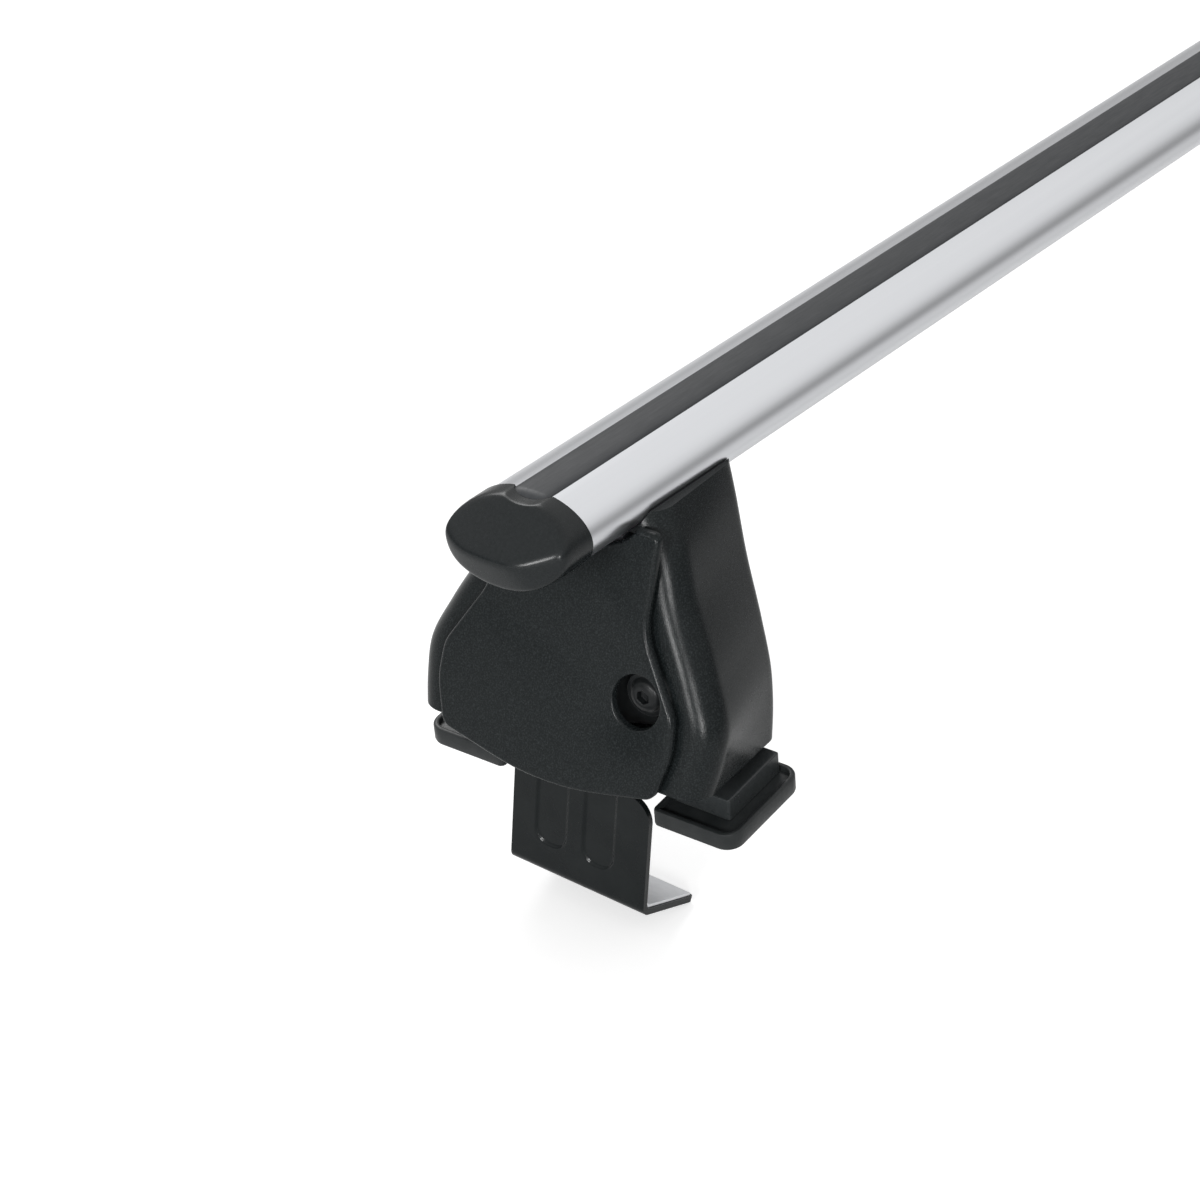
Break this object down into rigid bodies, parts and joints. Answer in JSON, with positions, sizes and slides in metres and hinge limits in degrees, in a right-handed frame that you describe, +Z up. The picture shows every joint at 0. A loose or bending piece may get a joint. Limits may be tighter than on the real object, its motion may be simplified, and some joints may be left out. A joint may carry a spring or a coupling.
{
  "type": "roof rack crossbar",
  "caption": "Oval aluminium roof rack crossbar with clamping feet: rubber top strip, end caps, key-locked covers, door-frame hooks and roof pads.",
  "frame": {"origin": "centre of the flat top of the rubber strip, the surface that carries the load", "axes": "+X along the bar, +Z up from the load surface, +Y along the vehicle"},
  "size_m": [1.26, 0.142, 0.1988],
  "materials": {
    "anodised_bar": "satin anodised, drawn along its length",
    "strip_rubber": "matt extruded rubber",
    "satin_plastic": "satin black moulded plastic",
    "grained_plastic": "fine-grained black moulded plastic",
    "zinc_steel": "zinc-plated steel",
    "black_steel": "black powder-coated pressed steel, semi-gloss",
    "pale_lining": "pale grey rubber lining",
    "pad_rubber": "smooth black moulded rubber",
    "carrier_plastic": "black moulded nylon"
  },
  "bodies": {
    "bar": {"bar_extrusion": "anodised_bar", "top_rubber_strip": "strip_rubber", "end_cap_left": "satin_plastic", "end_cap_right": "satin_plastic"},
    "foot_left": {"foot_housing_left": "grained_plastic", "clamp_frame_left": "zinc_steel", "saddle_pad_left": "strip_rubber", "bar_bolts_left": "zinc_steel", "bar_nuts_left": "zinc_steel", "clamp_pivot_pin_left": "zinc_steel", "clamp_nut_left": "zinc_steel", "pad_pivot_pin_left": "zinc_steel"},
    "cover_left": {"foot_cover_left": "grained_plastic"},
    "bracket_left": {"clamp_plate_left": "zinc_steel", "clamp_bracket_left": "black_steel", "bracket_lining_left": "pale_lining", "bracket_rivets_left": "zinc_steel"},
    "washer_left": {"bolt_washer_left": "zinc_steel"},
    "bolt_left": {"tightening_bolt_left": "zinc_steel"},
    "pad_left": {"rubber_pad_left": "pad_rubber", "pad_carrier_left": "carrier_plastic"},
    "foot_right": {"foot_housing_right": "grained_plastic", "clamp_frame_right": "zinc_steel", "saddle_pad_right": "strip_rubber", "bar_bolts_right": "zinc_steel", "bar_nuts_right": "zinc_steel", "clamp_pivot_pin_right": "zinc_steel", "clamp_nut_right": "zinc_steel", "pad_pivot_pin_right": "zinc_steel"},
    "cover_right": {"foot_cover_right": "grained_plastic"},
    "bracket_right": {"clamp_plate_right": "zinc_steel", "clamp_bracket_right": "black_steel", "bracket_lining_right": "pale_lining", "bracket_rivets_right": "zinc_steel"},
    "washer_right": {"bolt_washer_right": "zinc_steel"},
    "bolt_right": {"tightening_bolt_right": "zinc_steel"},
    "pad_right": {"rubber_pad_right": "pad_rubber", "pad_carrier_right": "carrier_plastic"}
  },
  "joints": [
    {"name": "foot_slide_left", "type": "slide", "parent": "bar", "child": "foot_left", "axis": [1, 0, 0], "range_m": [-0.02, 0.15]},
    {"name": "cover_removal_left", "type": "slide", "parent": "foot_left", "child": "cover_left", "axis": [-1, 0, 0], "range_m": [0, 0.06]},
    {"name": "bracket_swing_left", "type": "hinge", "parent": "foot_left", "child": "bracket_left", "pos_m": [-0.5704, 0, -0.0569], "axis": [0, -1, 0], "range_deg": [-3, 4]},
    {"name": "washer_travel_left", "type": "slide", "parent": "foot_left", "child": "washer_left", "axis": [1, 0, 0], "range_m": [-0.0014, 0.0018]},
    {"name": "bolt_turn_left", "type": "hinge", "parent": "washer_left", "child": "bolt_left", "pos_m": [-0.5784, -0.0355, -0.0824], "axis": [1, 0, 0], "range_deg": [-390, 520]},
    {"name": "pad_tilt_left", "type": "hinge", "parent": "foot_left", "child": "pad_left", "pos_m": [-0.55, 0, -0.1109], "axis": [0, 1, 0], "range_deg": [-5, 12]},
    {"name": "foot_slide_right", "type": "slide", "parent": "bar", "child": "foot_right", "axis": [-1, 0, 0], "range_m": [-0.02, 0.15]},
    {"name": "cover_removal_right", "type": "slide", "parent": "foot_right", "child": "cover_right", "axis": [1, 0, 0], "range_m": [0, 0.06]},
    {"name": "bracket_swing_right", "type": "hinge", "parent": "foot_right", "child": "bracket_right", "pos_m": [0.5704, 0, -0.0569], "axis": [0, 1, 0], "range_deg": [-3, 4]},
    {"name": "washer_travel_right", "type": "slide", "parent": "foot_right", "child": "washer_right", "axis": [-1, 0, 0], "range_m": [-0.0014, 0.0018]},
    {"name": "bolt_turn_right", "type": "hinge", "parent": "washer_right", "child": "bolt_right", "pos_m": [0.5784, 0.0355, -0.0824], "axis": [-1, 0, 0], "range_deg": [-390, 520]},
    {"name": "pad_tilt_right", "type": "hinge", "parent": "foot_right", "child": "pad_right", "pos_m": [0.55, 0, -0.1109], "axis": [0, -1, 0], "range_deg": [-5, 12]}
  ],
  "couplings": [
    {"joint": "washer_travel_left", "follows": "bracket_swing_left", "m_per_rad": 0.0255},
    {"joint": "bolt_turn_left", "follows": "bracket_swing_left", "ratio": 128.18},
    {"joint": "washer_travel_right", "follows": "bracket_swing_right", "m_per_rad": 0.0255},
    {"joint": "bolt_turn_right", "follows": "bracket_swing_right", "ratio": 128.18}
  ]
}
